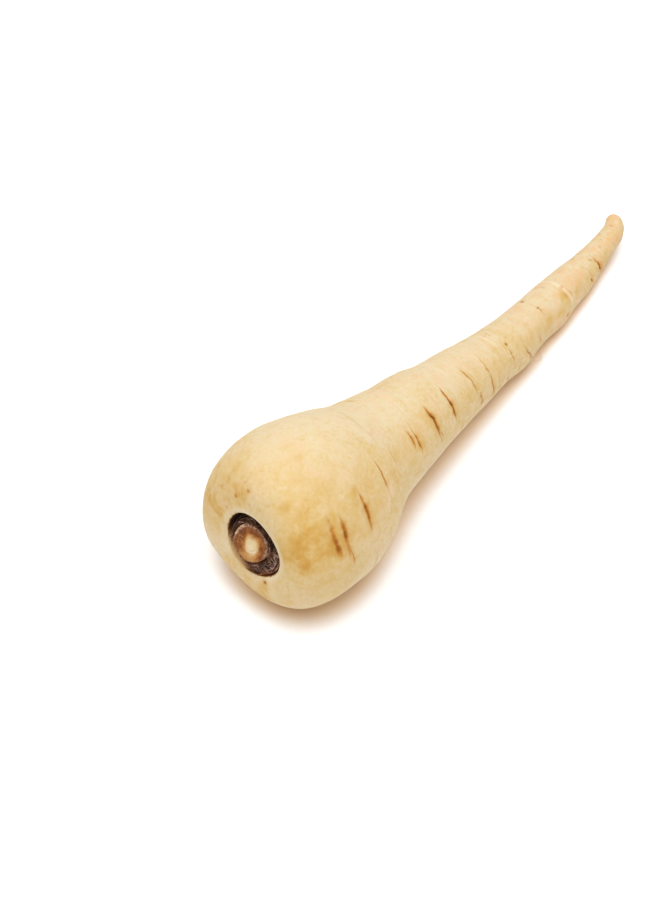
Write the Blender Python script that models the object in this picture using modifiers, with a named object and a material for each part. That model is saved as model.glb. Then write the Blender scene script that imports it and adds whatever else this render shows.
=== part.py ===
# A parsnip: a washed, trimmed root lying on its side, crown towards -X and tail towards +X.
# Metres, +Z up. The origin is the middle of its footprint, on the surface that it lies on.
#
# Each piece is first shaped upright, with the crown up and the crest of the crown at height 0.
# A point there has a station (its distance below the crest), a radius and an angle round the root.
# bent() then bends it along the root's centreline and lays it on its side. After that, angle 0
# faces -Y and angle 90 faces up. Pieces that touch are kept 0.3 mm apart.

import math
import random

import bpy
import numpy as np

MM = 0.001

# The root's outline
WIDEST_RADIUS = 30 * MM
WIDEST_STATION = 24 * MM
CREST_RADIUS = 14.5 * MM  # the ring where the shoulder turns down into the pit
SHOULDER_POWER = 2.32  # 2 is an ellipse, more is squarer
ROOT_LENGTH = 223.5 * MM
TIP_RADIUS = 4.0 * MM
TIP_ROUNDING = 4.4 * MM
TIP_SHIFT = (-1.4 * MM, 0.6 * MM)  # towards angle 0 and angle 90
TAPER = [  # station and radius in mm, from the widest place to the start of the tip's rounding
    (24, 30.0), (44, 25.9), (58, 20.6), (74, 17.6), (92, 14.9), (112, 12.4),
    (134, 10.4), (156, 8.8), (176, 8.0), (194, 6.3), (209, 4.9), (218.5, 4.0),
]

# The pit in the crown, where the leaf stalks grew
PIT_RADIUS = 11.3 * MM
PIT_DEPTH = 8.0 * MM
PIT_OFFSET = (0.9 * MM, -0.1 * MM)  # towards angle 0 and angle 90
PIT_LOBES = 0.03  # three slight corners
STUMP_OFFSET = (-0.9 * MM, 0.4 * MM)  # from the pit's middle
CENTRE_RADIUS = 7.3 * MM  # within this all moves with the stump
PIT_OUTLINE = [  # radius and station in mm, from the floor's centre out to the lip
    (0, 8.0), (5.0, 8.0), (9.4, 8.0), (10.5, 7.0), (11.1, 3.6), (11.4, 1.0), (12.3, 0.35), (13.4, 0.1),
]

# How the root isn't round
LEAN = (-0.057, -0.011)  # slope of the crown's face, towards angle 0 and angle 90
TWO_LOBES = (0.018, -0.020)  # cosine and sine parts of each swelling of the wide end
THREE_LOBES = (-0.005, -0.038)
LUMPS = [  # station, angle, height, half length in mm, half width in degrees
    (5, 212, 1.1, 7, 14), (5, 247, -0.8, 7, 20), (23, 150, 0.2, 6, 40), (20, -27, -0.8, 9, 40),
    (41, -20, 0.5, 7, 45), (65, 150, 0.4, 8, 50), (87, 140, 0.9, 6, 60), (112, 150, 0.4, 8, 55),
    (129, -27, -0.3, 6, 50), (141, -27, 0.7, 6, 50), (157, -27, -0.4, 7, 50), (161, 150, 0.5, 10, 60),
    (168, -27, 0.5, 5, 50), (177, -27, -0.4, 6, 50), (178, 140, 0.3, 8, 60), (187, -27, 0.3, 7, 50),
    (209, 153, -0.8, 13, 60), (214, -27, 0.7, 9, 60), (24, 286, -0.6, 12, 22),
]

# How the root bends
RESTING_PITCH = -0.182  # radians, the slope of the centreline at the crest
ARCH = 0.052  # extra slope at the middle of the arched stretch, in radians
ARCH_LENGTH = 120 * MM
TAIL_BEND_FROM = 103.7 * MM
TAIL_BEND_TO = 215 * MM
TAIL_LIFT = 0.262  # radians gained by TAIL_BEND_TO
TAIL_TURN = 0.140
TAIL_BEND_POWER = 1.5
FLAT_DEPTH = 0.65 * MM  # how much of the underside is flattened where it rests

# Creases that run part of the way round: station in mm, middle and half span in degrees, depth in mm
CREASES = [
    (13.5, 27, 18, 0.9), (17.5, 19, 20, 0.9), (29, 30, 17, 0.9), (42, 39, 21, 0.6),
    (65.6, 41, 16, 0.7), (68.6, 38, 17, 0.7), (79.5, 38, 27, 1.1), (91, 46, 33, 0.9),
    (106, 38, 42, 0.6), (116.5, 39, 48, 0.7), (131.5, 46, 25, 0.5), (141.5, 12, 32, 0.8),
    (157, 84, 42, 0.5), (173, 87, 50, 0.5), (189, 17, 26, 0.5), (197, 28, 36, 0.8),
]
HIDDEN_CREASES = 16
HIDDEN_FROM, HIDDEN_TO = 26, 208  # stations in mm
HIDDEN_ANGLES = (110, 340)
CREASE_HALF_WIDTH = 0.9 * MM
LEAST_ROW_GAP = 0.6 * MM
ROW_GAP = 5 * MM
SIDES = 46

# The dried bases of the leaf stalks, a fibrous ring that lines the pit
BASES_OUTLINE = [  # radius and station in mm, anticlockwise from the foot of the inner wall
    (7.1, 7.7), (7.1, 4.6), (7.1, 2.1), (7.4, 1.5), (7.9, 2.4), (8.4, 3.8), (9.1, 4.3), (9.8, 3.2),
    (10.4, 1.9), (10.9, 1.6), (10.75, 3.8), (10.2, 6.8), (9.2, 7.7),
]
BASES_SIDES = 72
RIDGES = 19
RIDGE_HEIGHT = 0.45 * MM
SCALE_COUNT = 12
SCALE_RADIUS = 8.6 * MM
SCALE_THICKNESS = 0.9 * MM
SCALE_WIDTH = 3.4 * MM
SCALE_FOOT = 5.8 * MM  # station of its root, sunk in the ring
SCALE_TOP = 0.9 * MM

# The cut stump of the stalks, a slanting face with growth rings
STUMP_OUTLINE = [  # radius and station in mm, from the middle of the face out and down
    (0, 0.3), (1.1, 0.2), (2.2, 0.3), (2.8, 0.6), (3.6, 0.5), (4.2, 0.8), (5.1, 0.6), (5.8, 0.35),
    (6.4, 0.4), (6.8, 1.1), (6.7, 3.0), (6.75, 5.0), (6.7, 7.0), (6.2, 7.7), (0, 7.7),
]
STUMP_SIDES = 36
CUT_SLANT = math.tan(math.radians(14))
CUT_LOW_SIDE = math.radians(63)
CUT_STARTS = 4.5 * MM  # the slant fades out down to this station

SKIN = ((0.86, 0.70, 0.44), 0.45)  # base colour and roughness
DRIED_BASE = ((0.075, 0.042, 0.025), 0.85)
CUT_FACE = ((0.56, 0.34, 0.16), 0.7)

COLLECTION = "parsnip"


def ease(t):
    t = np.clip(t, 0, 1)
    return t * t * (3 - 2 * t)


def smooth_through(points, x):
    """A smooth curve through (x, y) points, level at the first."""
    xs, ys = np.array(points, float).T
    slopes = np.gradient(ys, xs)
    slopes[0] = 0
    i = np.clip(np.searchsorted(xs, x) - 1, 0, len(xs) - 2)
    span = xs[i + 1] - xs[i]
    t = (x - xs[i]) / span
    start = (1 + 2 * t) * (1 - t) ** 2 * ys[i] + t * (1 - t) ** 2 * span * slopes[i]
    end = t * t * (3 - 2 * t) * ys[i + 1] + t * t * (t - 1) * span * slopes[i + 1]
    return start + end


def all_creases():
    """The creases of the seen side, and more of their kind drawn at random for the rest."""
    draw = random.Random(11)
    found = list(CREASES)
    step = (HIDDEN_TO - HIDDEN_FROM) / HIDDEN_CREASES
    for k in range(HIDDEN_CREASES):
        station = HIDDEN_FROM + step * (k + draw.uniform(0.2, 0.8))
        middle = draw.uniform(*HIDDEN_ANGLES)
        found.append((station, middle, draw.uniform(16, 40), draw.uniform(0.45, 0.9)))
    return found


def crease_rows():
    """Stations of the three rows that each crease needs."""
    rows = []
    for station, _, _, _ in all_creases():
        middle = station * MM
        rows += [middle - CREASE_HALF_WIDTH, middle, middle + CREASE_HALF_WIDTH]
    return rows


def outline():
    """The root's profile as (radius, station), from the pit's floor over the crest to the tip."""
    points = [(r * MM, s * MM) for r, s in PIT_OUTLINE]
    turn = list(np.linspace(0, math.pi / 2, 12))
    for station in crease_rows():
        if station < WIDEST_STATION:
            turn.append(math.acos((1 - station / WIDEST_STATION) ** (SHOULDER_POWER / 2)))
    for a in sorted(turn):
        radius = CREST_RADIUS + (WIDEST_RADIUS - CREST_RADIUS) * math.sin(a) ** (2 / SHOULDER_POWER)
        station = WIDEST_STATION * (1 - math.cos(a) ** (2 / SHOULDER_POWER))
        points.append((radius, station))
    first, last = TAPER[0][0] * MM, TAPER[-1][0] * MM
    plain = np.linspace(first, last, round((last - first) / ROW_GAP))[1:]
    middles = [c[0] * MM for c in all_creases() if c[0] * MM > first]
    rows = list(middles)
    for station in sorted(crease_rows()) + list(plain):
        if first + LEAST_ROW_GAP < station <= last and min(abs(station - r) for r in rows) > LEAST_ROW_GAP:
            rows.append(station)
    rows = np.array(sorted(rows))
    points += list(zip(smooth_through(TAPER, rows / MM) * MM, rows))
    for a in np.linspace(0, math.pi / 2, 6)[1:]:
        points.append((TIP_RADIUS * math.cos(a), ROOT_LENGTH - TIP_ROUNDING * (1 - math.sin(a))))
    return points


def centreline():
    """Points and directions of the bent centreline, a millimetre apart, and their stations."""
    stations = np.arange(-10, 240) * MM
    along = np.clip((stations - TAIL_BEND_FROM) / (TAIL_BEND_TO - TAIL_BEND_FROM), 0, None)
    bend = along**TAIL_BEND_POWER
    arch = ARCH * np.sin(np.clip(stations / ARCH_LENGTH, 0, 1) * math.pi)
    pitch = RESTING_PITCH + TAIL_LIFT * bend + arch
    turn = TAIL_TURN * bend
    directions = np.stack([np.cos(pitch) * np.cos(turn), np.cos(pitch) * np.sin(turn), np.sin(pitch)], 1)
    steps = (directions[1:] + directions[:-1]) / 2 * MM
    points = np.concatenate([np.zeros((1, 3)), np.cumsum(steps, axis=0)])
    return stations, points, directions


def bent(upright):
    """Where upright points go when the root is bent along its centreline and laid on its side."""
    station, radius = -upright[:, 2], np.hypot(upright[:, 0], upright[:, 1])
    angle = np.arctan2(upright[:, 1], upright[:, 0])
    stations, points, directions = centreline()
    centre = np.stack([np.interp(station, stations, points[:, k]) for k in range(3)], 1)
    ahead = np.stack([np.interp(station, stations, directions[:, k]) for k in range(3)], 1)
    ahead /= np.linalg.norm(ahead, axis=1)[:, None]
    side = np.cross(ahead, [0, 0, 1])
    side /= np.linalg.norm(side, axis=1)[:, None]
    above = np.cross(side, ahead)
    crown = np.where(station < 20 * MM, 1 - ease((radius - PIT_RADIUS) / (14 * MM)), 0)
    outer = ease((radius - CENTRE_RADIUS) / (3 * MM))
    inner = crown * (1 - outer)
    tip = ease((station - ROOT_LENGTH + 8 * MM) / (8 * MM))
    face = 1 - ease((station - 4 * MM) / (40 * MM))
    lean = face * radius * (LEAN[0] * np.cos(angle) + LEAN[1] * np.sin(angle))
    radius = radius * (1 + PIT_LOBES * np.cos(3 * angle) * crown * outer)
    across = radius * np.cos(angle) + crown * PIT_OFFSET[0] + inner * STUMP_OFFSET[0] + tip * TIP_SHIFT[0]
    up = radius * np.sin(angle) + crown * PIT_OFFSET[1] + inner * STUMP_OFFSET[1] + tip * TIP_SHIFT[1]
    return centre + across[:, None] * side + up[:, None] * above + lean[:, None] * ahead


def angle_between(a, b):
    return np.abs((a - b + math.pi) % (2 * math.pi) - math.pi)


def root_relief(upright):
    """Swells, lumps and creases of the root's skin, as upright points moved in or out."""
    station, radius = -upright[:, 2], np.hypot(upright[:, 0], upright[:, 1])
    angle = np.arctan2(upright[:, 1], upright[:, 0])
    skin = (radius > CREST_RADIUS * 0.999) | (station > PIT_DEPTH * 1.05)
    wide = (1 - ease((station - 30 * MM) / (40 * MM))) * ease((radius - PIT_RADIUS) / (12 * MM))
    lobes = TWO_LOBES[0] * np.cos(2 * angle) + TWO_LOBES[1] * np.sin(2 * angle)
    lobes += THREE_LOBES[0] * np.cos(3 * angle) + THREE_LOBES[1] * np.sin(3 * angle)
    moved = radius * wide * lobes
    away_from_crest = np.where(station > WIDEST_STATION, 1, ease((radius - CREST_RADIUS) / (6 * MM)))
    for at, facing, height, half_length, half_width in LUMPS:
        along = np.clip(1 - ((station - at * MM) / (2 * half_length * MM)) ** 2, 0, 1) ** 2
        turned_by = angle_between(angle, math.radians(facing))
        around = np.clip(1 - (turned_by / math.radians(2 * half_width)) ** 2, 0, 1) ** 2
        moved += height * MM * along * around * away_from_crest
    for at, facing, half_span, depth in all_creases():
        along = np.clip(1 - np.abs(station - at * MM) / CREASE_HALF_WIDTH, 0, 1)
        turned_by = angle_between(angle, math.radians(facing))
        around = np.clip(1 - (turned_by / math.radians(half_span)) ** 2, 0, 1)
        moved -= depth * MM * along * around
    share = np.where(skin, 1 + moved / np.maximum(radius, 1 * MM), 1)
    near_tip = np.clip((ROOT_LENGTH - station) / TIP_ROUNDING, 0, 1)
    share = 1 + (share - 1) * near_tip
    shaped = upright.copy()
    shaped[:, :2] *= share[:, None]
    return shaped


def bases_relief(upright):
    """Fibrous ridges on the dried ring, only where it faces out of the pit."""
    station, radius = -upright[:, 2], np.hypot(upright[:, 0], upright[:, 1])
    angle = np.arctan2(upright[:, 1], upright[:, 0])
    draw = random.Random(5)
    ridges = np.zeros(len(upright))
    for k in range(1, 4):
        ridges += np.cos(k * RIDGES * angle / 2 + draw.uniform(0, 6)) / k
    free = ease((5 * MM - station) / (2 * MM)) * ease((radius - 7.1 * MM) / (0.8 * MM))
    free *= ease((10.85 * MM - radius) / (0.8 * MM))
    shaped = upright.copy()
    shaped[:, 2] += RIDGE_HEIGHT * ridges * free
    return shaped


def slanted_cut(upright):
    """The stump's face cut at a slant, and slightly out of round."""
    station, angle = -upright[:, 2], np.arctan2(upright[:, 1], upright[:, 0])
    radius = np.hypot(upright[:, 0], upright[:, 1])
    above_ring = ease((CUT_STARTS - station) / (CUT_STARTS * 0.95))
    shaped = upright.copy()
    shaped[:, :2] *= (1 + 0.03 * np.cos(2 * angle - 1.2) * above_ring)[:, None]
    shaped[:, 2] -= CUT_SLANT * radius * np.cos(angle - CUT_LOW_SIDE) * above_ring
    return shaped


def to_collection(obj):
    bpy.data.collections[COLLECTION].objects.link(obj)
    return obj


def material(name, look):
    colour, roughness = look
    made = bpy.data.materials.new(name)
    made.use_nodes = True
    shader = made.node_tree.nodes["Principled BSDF"]
    shader.inputs["Base Color"].default_value = (*colour, 1)
    shader.inputs["Roughness"].default_value = roughness
    shader.inputs["Metallic"].default_value = 0
    return made


def turned(name, profile, sides, closed=False):
    """A body turned about +Z from a profile of (radius, station), as a mesh of its own."""
    data = bpy.data.meshes.new(name + "_profile")
    count = len(profile)
    edges = [(k, k + 1) for k in range(count - 1)] + ([(count - 1, 0)] if closed else [])
    data.from_pydata([(radius, 0, -station) for radius, station in profile], edges, [])
    obj = to_collection(bpy.data.objects.new(name + "_profile", data))
    screw = obj.modifiers.new("turn", "SCREW")
    screw.axis = "Z"
    screw.steps = sides
    screw.render_steps = sides
    screw.use_merge_vertices = True
    screw.merge_threshold = 0.00001
    bpy.context.view_layer.update()
    solid = bpy.data.meshes.new_from_object(obj.evaluated_get(bpy.context.evaluated_depsgraph_get()))
    bpy.data.objects.remove(obj)
    return to_collection(bpy.data.objects.new(name, solid))


def moved_by(obj, *rules):
    """Moves all the points of a mesh by each rule in turn."""
    mesh = obj.data
    points = np.empty(len(mesh.vertices) * 3)
    mesh.vertices.foreach_get("co", points)
    points = points.reshape(-1, 3)
    for rule in rules:
        points = rule(points)
    mesh.vertices.foreach_set("co", points.ravel())
    mesh.update()
    return obj


def root():
    return moved_by(turned("root", outline(), SIDES), root_relief, bent)


def torn_scale(name, facing, draw):
    """One dried leaf base: a thin upright blade with a torn, uneven top edge."""
    bpy.ops.mesh.primitive_grid_add(x_subdivisions=4, y_subdivisions=4, size=1)
    obj = bpy.context.object
    obj.name = name
    mesh = obj.data
    width = SCALE_WIDTH * draw.uniform(0.75, 1.15)
    top = SCALE_TOP + draw.uniform(-1.3, 1.0) * MM
    radius = SCALE_RADIUS + draw.uniform(-0.35, 0.55) * MM
    flare = draw.uniform(-0.25, 0.9) * MM
    torn = [draw.uniform(0, 1.0) * MM for _ in range(5)]
    torn[0] += 0.9 * MM
    torn[-1] += 0.9 * MM
    for vertex in mesh.vertices:
        across, height = vertex.co.x, vertex.co.y + 0.5
        column = round((across + 0.5) * 4)
        station = SCALE_FOOT + (top + torn[column] - SCALE_FOOT) * height
        out = radius + flare * height**2
        angle = facing + across * width / SCALE_RADIUS
        vertex.co = (out * math.cos(angle), out * math.sin(angle), -station)
    solidify = obj.modifiers.new("thickness", "SOLIDIFY")
    solidify.thickness = SCALE_THICKNESS
    solidify.offset = 0
    return obj


def joined(body, pieces):
    """One closed body from a body and the pieces rooted in it."""
    group = bpy.data.collections.new(body.name + "_pieces")
    bpy.context.scene.collection.children.link(group)
    for piece in pieces:
        for holder in list(piece.users_collection):
            holder.objects.unlink(piece)
        group.objects.link(piece)
    union = body.modifiers.new("join", "BOOLEAN")
    union.operation = "UNION"
    union.operand_type = "COLLECTION"
    union.collection = group
    union.solver = "EXACT"
    union.use_self = True
    bpy.context.view_layer.update()
    solid = bpy.data.meshes.new_from_object(body.evaluated_get(bpy.context.evaluated_depsgraph_get()))
    body.modifiers.clear()
    body.data = solid
    for piece in pieces:
        bpy.data.objects.remove(piece)
    bpy.data.collections.remove(group)
    return body


def dried_leaf_bases():
    ring = turned("dried_leaf_bases", [(r * MM, s * MM) for r, s in BASES_OUTLINE], BASES_SIDES, closed=True)
    moved_by(ring, bases_relief)
    draw = random.Random(3)
    scales = []
    for k in range(SCALE_COUNT):
        facing = 2 * math.pi * (k + draw.uniform(-0.2, 0.2)) / SCALE_COUNT
        scales.append(torn_scale(f"scale_{k}", facing, draw))
    return moved_by(joined(ring, scales), bent)


def cut_stalk_stump():
    profile = [(r * MM, s * MM) for r, s in STUMP_OUTLINE]
    return moved_by(turned("cut_stalk_stump", profile, STUMP_SIDES), slanted_cut, bent)


def lowest(objs):
    return min(vertex.co.z for obj in objs for vertex in obj.data.vertices)


def set_down(pieces):
    """Flattens the root where it rests, and moves everything so that the origin is under its middle."""
    floor = lowest(pieces) + FLAT_DEPTH
    for obj in pieces:
        for vertex in obj.data.vertices:
            vertex.co.z = max(vertex.co.z - floor, 0)
    places = [vertex.co for obj in pieces for vertex in obj.data.vertices]
    middle_x = (min(p.x for p in places) + max(p.x for p in places)) / 2
    middle_y = (min(p.y for p in places) + max(p.y for p in places)) / 2
    for obj in pieces:
        for vertex in obj.data.vertices:
            vertex.co.x -= middle_x
            vertex.co.y -= middle_y


def main():
    for obj in list(bpy.data.objects):
        bpy.data.objects.remove(obj)
    bpy.context.scene.collection.children.link(bpy.data.collections.new(COLLECTION))
    pieces = [root(), dried_leaf_bases(), cut_stalk_stump()]
    for obj, look in zip(pieces, (SKIN, DRIED_BASE, CUT_FACE)):
        obj.data.materials.clear()
        obj.data.materials.append(material(obj.name, look))
        obj.data.shade_smooth()
    set_down(pieces)


main()
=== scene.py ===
import math
import random

import bpy
import numpy as np
from mathutils import Matrix, Vector, noise


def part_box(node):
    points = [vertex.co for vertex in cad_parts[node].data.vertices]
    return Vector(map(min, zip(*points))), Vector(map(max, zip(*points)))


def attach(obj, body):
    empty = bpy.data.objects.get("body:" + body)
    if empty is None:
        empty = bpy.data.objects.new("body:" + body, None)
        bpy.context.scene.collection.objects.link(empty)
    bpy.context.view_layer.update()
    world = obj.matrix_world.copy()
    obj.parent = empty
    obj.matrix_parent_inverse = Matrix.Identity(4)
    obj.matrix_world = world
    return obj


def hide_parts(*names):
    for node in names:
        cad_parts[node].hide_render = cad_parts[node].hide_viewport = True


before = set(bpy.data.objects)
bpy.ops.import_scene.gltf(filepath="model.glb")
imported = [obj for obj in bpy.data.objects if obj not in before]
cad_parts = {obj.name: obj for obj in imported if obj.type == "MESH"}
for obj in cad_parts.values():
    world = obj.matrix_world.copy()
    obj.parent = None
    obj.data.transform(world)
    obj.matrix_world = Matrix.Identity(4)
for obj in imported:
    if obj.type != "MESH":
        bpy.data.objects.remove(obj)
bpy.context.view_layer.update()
mm = 0.001

# Pieces are shaped upright first: the crown is up, its crest is at height 0, and a point has a
# station (mm below the crest), a radius and an angle. layDown then bends and lays them.

rootShape = {
    "widest": (24, 30),  # station and radius
    "crest": 14.5,
    "shoulderPower": 2.32,
    "length": 223.5,
    "tip": (4.0, 4.4),  # radius and rounding
    "tipShift": (-1.4, 0.6),
    "taper": [
        (24, 30.0), (44, 25.9), (58, 20.6), (74, 17.6), (92, 14.9), (112, 12.4),
        (134, 10.4), (156, 8.8), (176, 8.0), (194, 6.3), (209, 4.9), (218.5, 4.0),
    ],
    "pit": [(0, 8.0), (5, 8.0), (9.4, 8.0), (10.5, 7.0), (11.1, 3.6), (11.4, 1.0), (12.3, 0.35), (13.4, 0.1), (14.5, 0)],
    "pitRadius": 11.3,
    "pitOffset": (0.9, -0.1),
    "pitLobes": 0.03,
    "stumpOffset": (-0.9, 0.4),
    "centreRadius": 7.3,
    "lean": (-0.057, -0.011),
    "twoLobes": (0.018, -0.020),
    "threeLobes": (-0.005, -0.038),
    "lumps": [
        (5, 212, 1.1, 7, 14), (5, 247, -0.8, 7, 20), (23, 150, 0.2, 6, 40), (20, -27, -0.8, 9, 40),
        (41, -20, 0.5, 7, 45), (65, 150, 0.4, 8, 50), (87, 140, 0.9, 6, 60), (112, 150, 0.4, 8, 55),
        (129, -27, -0.3, 6, 50), (141, -27, 0.7, 6, 50), (157, -27, -0.4, 7, 50), (161, 150, 0.5, 10, 60),
        (168, -27, 0.5, 5, 50), (177, -27, -0.4, 6, 50), (178, 140, 0.3, 8, 60), (187, -27, 0.3, 7, 50),
        (209, 153, -0.8, 13, 60), (214, -27, 0.7, 9, 60), (24, 286, -0.6, 12, 22),
    ],
    "restingPitch": -0.182,
    "arch": (0.052, 120),
    "tailBend": (103.7, 215, 1.5),  # from, to, power
    "tailLift": 0.262,
    "tailTurn": 0.140,
}

skinDetail = {
    "sides": 150,
    "rowGaps": [(0, 0.6), (24, 0.75), (60, 0.46)],  # from this station on
    "creaseGap": 0.27,
    # station, tilt, middle angle, half span, depth, half width, darkness, darkest angle
    "creases": [
        (13.3, 0.3, 26, 20, 0.60, 1.35, 0.88, 22), (14.2, 0.2, 19, 12, 0.2, 0.50, 0.6, 17),
        (17.5, 0.2, 20, 22, 0.50, 1.30, 0.76, 27), (18.6, 0.3, 8, 12, 0.2, 0.45, 0.6, 6),
        (28.6, 0.4, 28, 20, 0.55, 0.95, 0.85, 29), (42.0, 0.3, 39, 24, 0.30, 0.42, 0.7, 40),
        (65.5, 0.2, 41, 20, 0.40, 0.65, 0.64, 43), (68.1, 0.3, 36, 24, 0.45, 0.65, 0.66, 36),
        (80.0, 1.2, 34, 35, 0.75, 0.85, 1.05, 40), (78.6, 0.3, 50, 14, 0.3, 0.3, 0.5, 50),
        (81.6, 0.3, 20, 14, 0.3, 0.3, 0.4, 20), (91.0, 0.6, 45, 37, 0.55, 0.62, 0.9, 40),
        (106.4, 1.8, 40, 44, 0.42, 0.36, 0.70, 58), (108.5, 0.3, 9, 28, 0.3, 0.36, 0.62, 10),
        (116.4, 0.4, 36, 52, 0.5, 0.42, 0.95, 3), (131.6, 0.3, 42, 26, 0.32, 0.3, 0.65, 32),
        (141.0, 3.0, 12, 34, 0.6, 0.42, 0.95, -6), (150.0, 0.4, 22, 28, 0.3, 0.4, 0.5, 12),
        (157.0, 0.4, 84, 45, 0.3, 0.25, 0.6, 60), (189.0, 0.2, 15, 16, 0.4, 0.35, 0.95, 17),
        # these two shallow grooves flank the ridge at station 173; their paint is painted shade beside it
        (171.8, 0.7, 66, 60, 0.15, 0.3, 0.36, 40), (174.4, 0.7, 62, 56, 0.15, 0.3, 0.34, 50),
        (196.6, 0.5, 30, 46, 0.6, 0.60, 1.1, 14), (211.0, 0.2, 74, 20, 0.25, 0.25, 0.4, 74),
        (189.6, 0.5, 62, 56, 0.25, 0.30, 0.5, 20), (204.5, 0.4, 60, 50, 0.15, 0.28, 0.3, 30),
    ],
    "hiddenCreases": 24,
    "faintLines": 90,
    "ridges": [(173, 0.7, 68, 62, 0.28, 0.6), (127, 0.4, 100, 40, 0.12, 0.6), (98, 0.5, 110, 50, 0.1, 0.7)],
    # station, angle, half length, how brown
    "dots": [
        (127.3, -4, 0.5, 0.8), (169, 4, 0.55, 0.8), (131.6, 62, 0.5, 0.9), (157, 122, 0.5, 0.9),
        (157, 78, 0.45, 0.8), (173, 74, 0.5, 0.9), (0.05, 304, 0.6, 1.1), (0.75, 119, 0.9, 0.55),
        (1.2, 102, 0.8, 0.5), (1.2, 152, 0.7, 0.4), (128.4, 104, 0.4, 0.5), (130.3, 107, 0.4, 0.5),
        (130.0, 98, 0.4, 0.4), (10.8, 117, 0.4, 0.4),
    ],
    "speckles": 60,  # on the crown face, above the pit
    # station, angle, half length, half span, strength: warm patches, then fair ones
    # warm patches: straw and ochre stains; low on the crown face, near angles 238 to 294, partly painted shade
    "warmPatches": [
        (7, 30, 13, 36, 0.72), (17, 20, 8, 22, 0.58), (2.6, 32, 4, 20, 0.9), (2.0, 18, 4, 15, 1.0), (6, 36, 7, 16, 0.86),
        (10, 0, 13, 34, 0.42), (1.1, 322, 3, 14, 0.4),
        (9.2, 60, 5, 10, 0.5), (4.7, 70, 4, 10, 0.5), (13, 76, 8, 16, 0.36), (20, 62, 7, 12, 0.42), (26, 42, 7, 13, 0.64),
        (30, 26, 7, 14, 0.6), (1.0, 163, 1.8, 11, 0.85), (0.3, 187, 2, 11, 0.5), (0.8, 112, 1.6, 14, 0.8), (6.3, 145, 2.6, 9, 0.75),
        (9, 56, 4.5, 13, 0.7), (4.2, 68, 3, 10, 0.6), (68, 42, 9, 22, 0.4),
        (11, 122, 5, 12, 0.36), (5, 100, 5, 14, 0.4), (0.5, 238, 1.5, 14, 0.5), (0.8, 294, 2.6, 16, 0.72),
        (3, 130, 6, 40, 0.5), (3, 172, 5, 30, 0.55), (3, 284, 5, 26, 0.6), (14, 60, 12, 50, 0.46), (30, 36, 14, 30, 0.45),
        (39, 52, 5, 8, 0.4), (35, 46, 4, 8, 0.4), (48, 36, 6, 13, 0.5), (57, 44, 6, 12, 0.45), (69, 33, 3.5, 10, 0.45),
        (75, 52, 4, 12, 0.5), (84, 36, 4, 12, 0.3), (104, 34, 5, 14, 0.35), (123, 32, 10, 20, 0.4), (143, 36, 8, 20, 0.45),
        (156, 34, 8, 18, 0.5), (166, 38, 5, 16, 0.68), (171, 48, 3, 20, 0.5), (178, 42, 6, 16, 0.5), (191, 40, 7, 20, 0.35),
        (200, 20, 4, 30, 0.4), (120, 200, 14, 30, 0.5), (60, 250, 16, 25, 0.5), (20, 200, 9, 20, 0.5),
    ],
    # fair patches: a paler tone; those along the top, near angle 100, partly a painted sheen
    "fairPatches": [
        (30, 102, 26, 40, 0.9), (58, 96, 28, 42, 1.0), (110, 104, 45, 48, 1.0), (175, 100, 60, 56, 1.0), (92, 70, 10, 30, 0.6),
        (60, -18, 50, 18, 0.7), (14, -38, 12, 20, 0.6), (3, 316, 6, 16, 0.5), (0.8, 216, 1.8, 28, 1.0), (222, 60, 10, 180, 0.6),
        (40, 260, 30, 30, 0.6), (130, 250, 50, 40, 0.6),
    ],
}


def easeIn(t):
    t = np.clip(t, 0, 1)
    return t * t * (3 - 2 * t)


def smoothCurve(points, x):
    xs, ys = np.array(points, float).T
    slopes = np.gradient(ys, xs)
    slopes[0] = 0
    i = np.clip(np.searchsorted(xs, x) - 1, 0, len(xs) - 2)
    span = xs[i + 1] - xs[i]
    t = (x - xs[i]) / span
    start = (1 + 2 * t) * (1 - t) ** 2 * ys[i] + t * (1 - t) ** 2 * span * slopes[i]
    end = t * t * (3 - 2 * t) * ys[i + 1] + t * t * (t - 1) * span * slopes[i + 1]
    return start + end


def smoothPath(points, perSpan):
    # a Catmull-Rom path through the points
    p = np.array([points[0]] + list(points) + [points[-1]], float)
    path = []
    for k in range(1, len(p) - 2):
        for t in np.arange(perSpan) / perSpan:
            a, b, c, d = p[k - 1], p[k], p[k + 1], p[k + 2]
            path.append(0.5 * (2 * b + (c - a) * t + (2 * a - 5 * b + 4 * c - d) * t * t + (3 * b - a - 3 * c + d) * t**3))
    return path + [p[-2]]


def upright(points):
    # station and radius in mm, angle in radians
    return -points[:, 2] / mm, np.hypot(points[:, 0], points[:, 1]) / mm, np.arctan2(points[:, 1], points[:, 0])


def turnedFrom(angle, degrees):
    return (angle - math.radians(degrees) + math.pi) % (2 * math.pi) - math.pi


def centreline():
    stations = np.arange(-10.0, 240.0)
    start, end, power = rootShape["tailBend"]
    bend = np.clip((stations - start) / (end - start), 0, None) ** power
    arch, archLength = rootShape["arch"]
    pitch = rootShape["restingPitch"] + rootShape["tailLift"] * bend
    pitch = pitch + arch * np.sin(np.clip(stations / archLength, 0, 1) * math.pi)
    turn = rootShape["tailTurn"] * bend
    ahead = np.stack([np.cos(pitch) * np.cos(turn), np.cos(pitch) * np.sin(turn), np.sin(pitch)], 1)
    middle = np.concatenate([np.zeros((1, 3)), np.cumsum((ahead[1:] + ahead[:-1]) / 2, axis=0)])
    return stations, middle, ahead


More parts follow.
